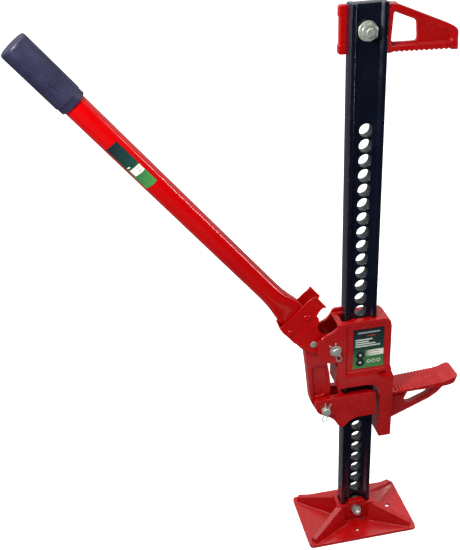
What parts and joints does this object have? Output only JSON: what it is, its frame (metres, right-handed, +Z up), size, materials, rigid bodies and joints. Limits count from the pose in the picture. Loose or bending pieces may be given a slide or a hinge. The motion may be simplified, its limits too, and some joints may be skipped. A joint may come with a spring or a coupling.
{
  "type": "farm jack",
  "caption": "Lever-operated rack jack: a holed steel bar on a wide base, with a sliding lifting toe, a long handle and a top clamp.",
  "frame": {"origin": "centre of the base plate's underside, on the floor", "axes": "+Z up along the rack, +X towards the lifting toe, -Y towards the side with the nuts and split pins"},
  "size_m": [0.6011, 0.1295, 0.838],
  "materials": {
    "red_enamel_casting": "gloss red enamel over a sand-cast skin",
    "red_enamel_steel": "gloss red enamel on pressed steel",
    "rack_enamel": "gloss blue-black enamel",
    "zinc_steel": "zinc plated",
    "spring_steel": "oiled spring wire",
    "grip_plastic": "satin moulded plastic",
    "label_film": "printed film"
  },
  "bodies": {
    "rack": {"rack_bar": "rack_enamel", "base_plate": "red_enamel_casting", "base_bolt": "zinc_steel", "base_washer_back": "zinc_steel", "base_washer_front": "zinc_steel", "base_nut": "zinc_steel", "top_clamp": "red_enamel_casting", "top_clamp_bolt": "zinc_steel", "top_clamp_washer": "zinc_steel", "top_clamp_nut": "zinc_steel"},
    "large_runner": {"large_runner": "red_enamel_casting", "runner_label": "label_film", "main_pin": "zinc_steel", "main_pin_split_pin": "zinc_steel", "main_pin_washer": "zinc_steel", "upper_spring_cap": "zinc_steel", "upper_pin_spring": "spring_steel", "latch_pivot": "zinc_steel"},
    "handle": {"handle_socket": "red_enamel_steel", "handle_tube": "red_enamel_steel", "handle_grip": "grip_plastic", "socket_rivet_1": "red_enamel_steel", "socket_rivet_2": "red_enamel_steel", "pitman_pivot_pin": "zinc_steel"},
    "small_runner": {"small_runner": "red_enamel_casting", "lower_pin": "zinc_steel", "lower_pin_split_pin": "zinc_steel", "lower_spring_cap": "zinc_steel", "lower_pin_spring": "spring_steel"},
    "pitman": {"pitman": "red_enamel_casting"},
    "upper_climbing_pin": {"upper_climbing_pin": "zinc_steel", "upper_cross_pin": "zinc_steel"},
    "lower_climbing_pin": {"lower_climbing_pin": "zinc_steel", "lower_cross_pin": "zinc_steel"},
    "reversing_latch": {"reversing_latch": "red_enamel_steel"}
  },
  "joints": [
    {"name": "runner_slide", "type": "slide", "parent": "rack", "child": "large_runner", "axis": [0, 0, 1], "range_m": [-0.1148, 0.315]},
    {"name": "handle_pivot", "type": "hinge", "parent": "large_runner", "child": "handle", "pos_m": [-0.0414, 0, 0.3503], "axis": [0, 1, 0], "range_deg": [-40, 38.2]},
    {"name": "small_runner_slide", "type": "slide", "parent": "large_runner", "child": "small_runner", "axis": [0, 0, 1], "range_m": [-0.0112, 0.0107]},
    {"name": "pitman_pivot", "type": "hinge", "parent": "small_runner", "child": "pitman", "pos_m": [-0.0552, 0, 0.2441], "axis": [0, 1, 0], "range_deg": [-4.5, 4.5]},
    {"name": "upper_pin_slide", "type": "slide", "parent": "large_runner", "child": "upper_climbing_pin", "axis": [0, -1, 0], "range_m": [-0.003, 0.012]},
    {"name": "lower_pin_slide", "type": "slide", "parent": "small_runner", "child": "lower_climbing_pin", "axis": [0, 1, 0], "range_m": [-0.012, 0.003]},
    {"name": "latch_pivot", "type": "hinge", "parent": "large_runner", "child": "reversing_latch", "pos_m": [0, 0.033, 0.367], "axis": [1, 0, 0], "range_deg": [0, 40]}
  ],
  "couplings": [
    {"joint": "small_runner_slide", "follows": "handle_pivot", "m_per_rad": 0.016},
    {"joint": "pitman_pivot", "follows": "handle_pivot", "ratio": 0.09}
  ]
}
